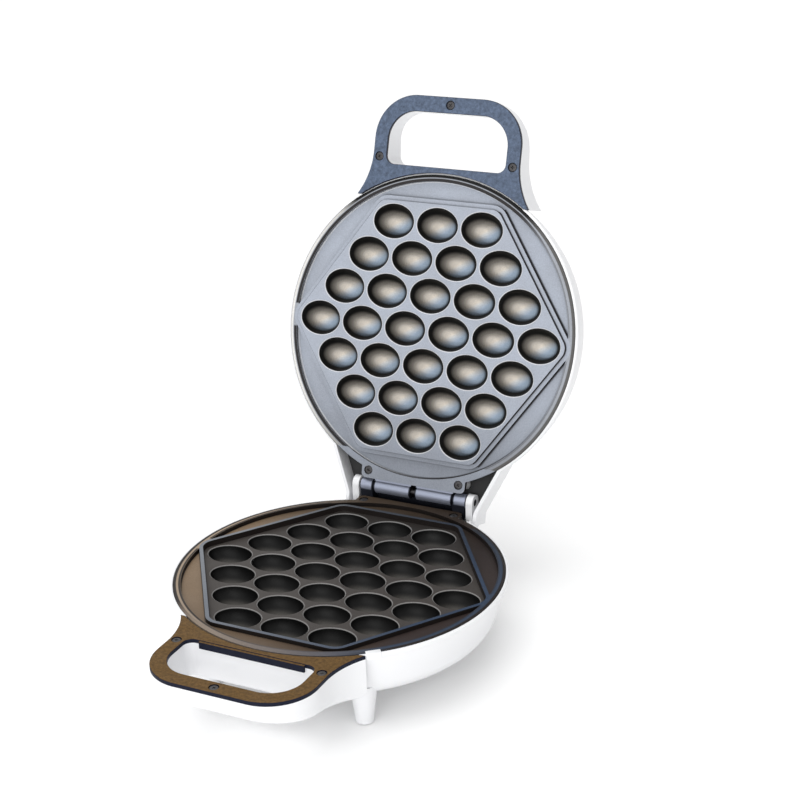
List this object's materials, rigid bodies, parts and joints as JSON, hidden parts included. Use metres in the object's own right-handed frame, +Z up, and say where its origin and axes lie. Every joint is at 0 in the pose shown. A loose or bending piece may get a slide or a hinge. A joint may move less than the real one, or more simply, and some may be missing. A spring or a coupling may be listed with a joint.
{
  "type": "electric egg waffle maker",
  "caption": "Clamshell egg waffle maker with two round bowled baking plates, looped handles and a rear hinge; bakes a bubble waffle between its plates.",
  "frame": {"origin": "on the floor under the centre of the open object's bounding box", "axes": "+Z up, +Y from the handles to the hinge, +X to the right when facing the hinge from the handles; the lid stands open at rest"},
  "size_m": [0.2176, 0.3646, 0.3231],
  "materials": {
    "shell": "gloss",
    "base_cover": "gloss",
    "lid_cover": "gloss",
    "base_casting": "coated satin",
    "lid_casting": "coated satin",
    "steel": "satin",
    "heater_tube": "matte",
    "shield": "satin",
    "screw": "satin",
    "pad": "matte",
    "dark_plastic": "matte",
    "block": "matte",
    "lens_red": "translucent",
    "lens_green": "translucent",
    "lamp": "clear",
    "board": "matte",
    "ceramic": "matte"
  },
  "bodies": {
    "base": {"base_shell": "shell", "base_handle_cover": "base_cover", "base_plate": "base_casting", "base_heater": "heater_tube", "base_heat_shield": "shield", "base_shield_screws": "screw", "base_plate_screws": "screw", "base_handle_screws": "screw", "base_hinge_leaf": "steel", "hinge_pin": "steel", "hinge_pin_clips": "steel", "foot_pad_front_left": "pad", "foot_pad_front_right": "pad", "foot_pad_rear_left": "pad", "foot_pad_rear_right": "pad", "cord_gland": "dark_plastic", "terminal_block": "block", "terminal_screws": "screw", "thermostat": "dark_plastic", "thermal_fuse": "ceramic", "fuse_strap": "steel"},
    "lid": {"lid_shell": "shell", "lid_handle_cover": "lid_cover", "lid_plate": "lid_casting", "lid_heater": "heater_tube", "lid_heat_shield": "shield", "lid_shield_screws": "screw", "lid_plate_screws": "screw", "lid_handle_screws": "screw", "lid_hinge_leaf": "steel", "lid_tail_cover": "dark_plastic", "power_lamp_lens": "lens_red", "ready_lamp_lens": "lens_green", "lamp_bodies": "lamp", "lamp_board": "board", "lamp_board_screws": "screw"}
  },
  "joints": [
    {"name": "lid_hinge", "type": "hinge", "parent": "base", "child": "lid", "pos_m": [0, 0.0902, 0.0613], "axis": [1, 0, 0], "range_deg": [0, 107.3]}
  ]
}
